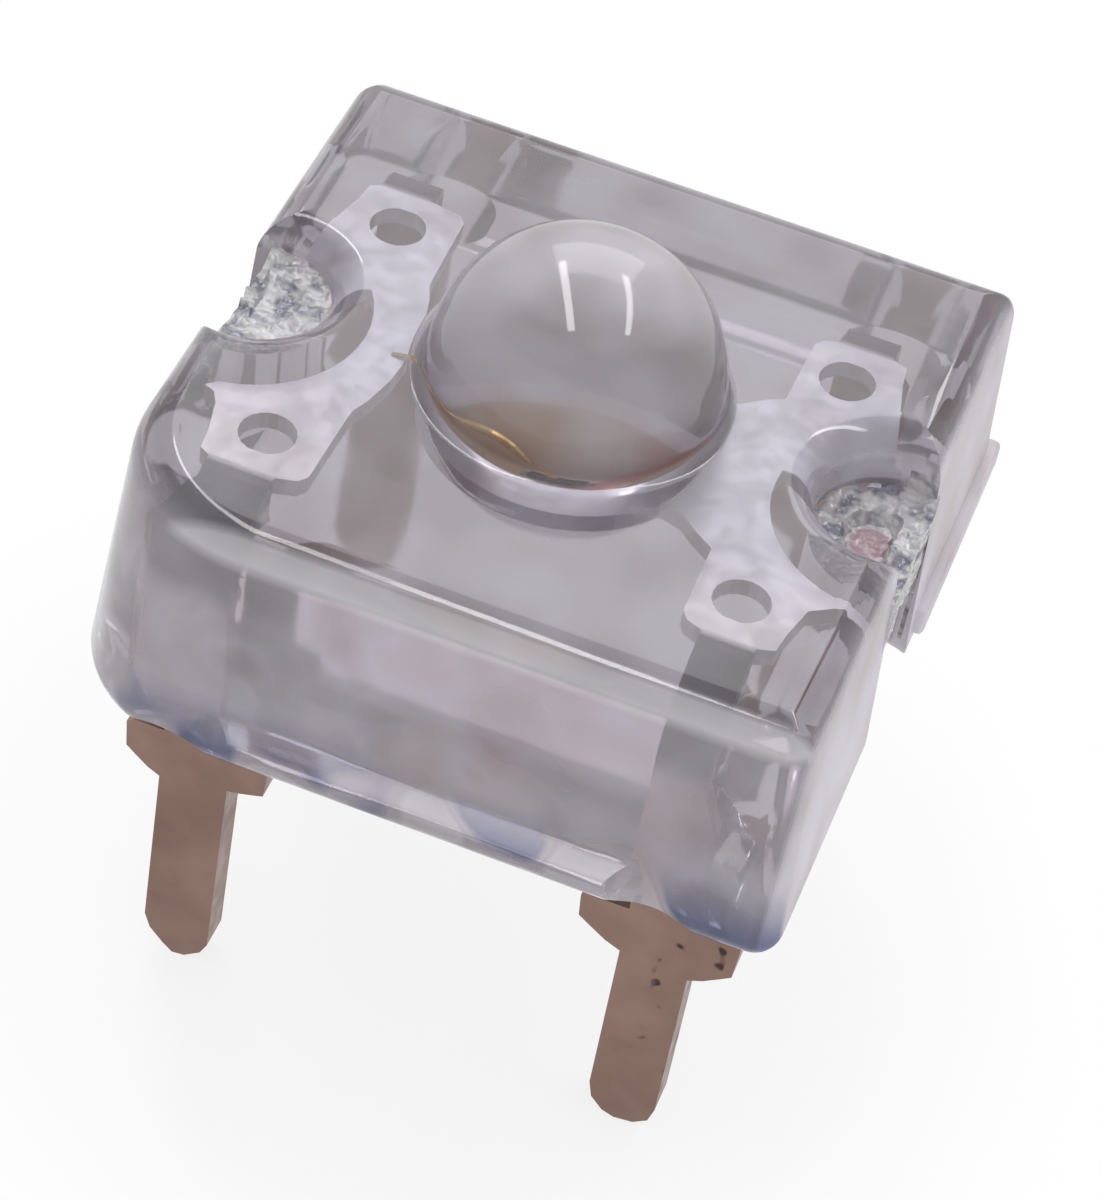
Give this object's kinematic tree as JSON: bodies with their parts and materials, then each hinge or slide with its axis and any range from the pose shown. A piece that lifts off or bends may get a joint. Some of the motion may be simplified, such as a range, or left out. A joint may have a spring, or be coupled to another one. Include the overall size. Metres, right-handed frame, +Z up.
{
  "type": "through-hole led",
  "caption": "Clear square through-hole LED with a domed lens, round-cornered on one side, over a stamped leadframe with a reflector cup and straight legs at the corners.",
  "frame": {"origin": "centre of the lead grid in plan, level with the lead tips; the body is centred over it", "axes": "+Z up out of the dome lens, +X from the bond-post side to the cup side, -Y towards the side with the large-radius corner at its left end"},
  "size_m": [0.0077, 0.0077, 0.0088],
  "materials": {
    "clear_epoxy": "clear, smooth, faintly grey",
    "frame_plating": "satin tin plating, brownish where it is bare below the body",
    "gold": "bright",
    "chip": "smooth crystal with a metal contact",
    "silver_adhesive": "dull filled adhesive"
  },
  "bodies": {
    "root": {"epoxy_body": "clear_epoxy", "cup_leadframe": "frame_plating", "post_leadframe": "frame_plating", "led_chip": "chip", "die_attach": "silver_adhesive", "bond_wire": "gold"}
  },
  "joints": []
}
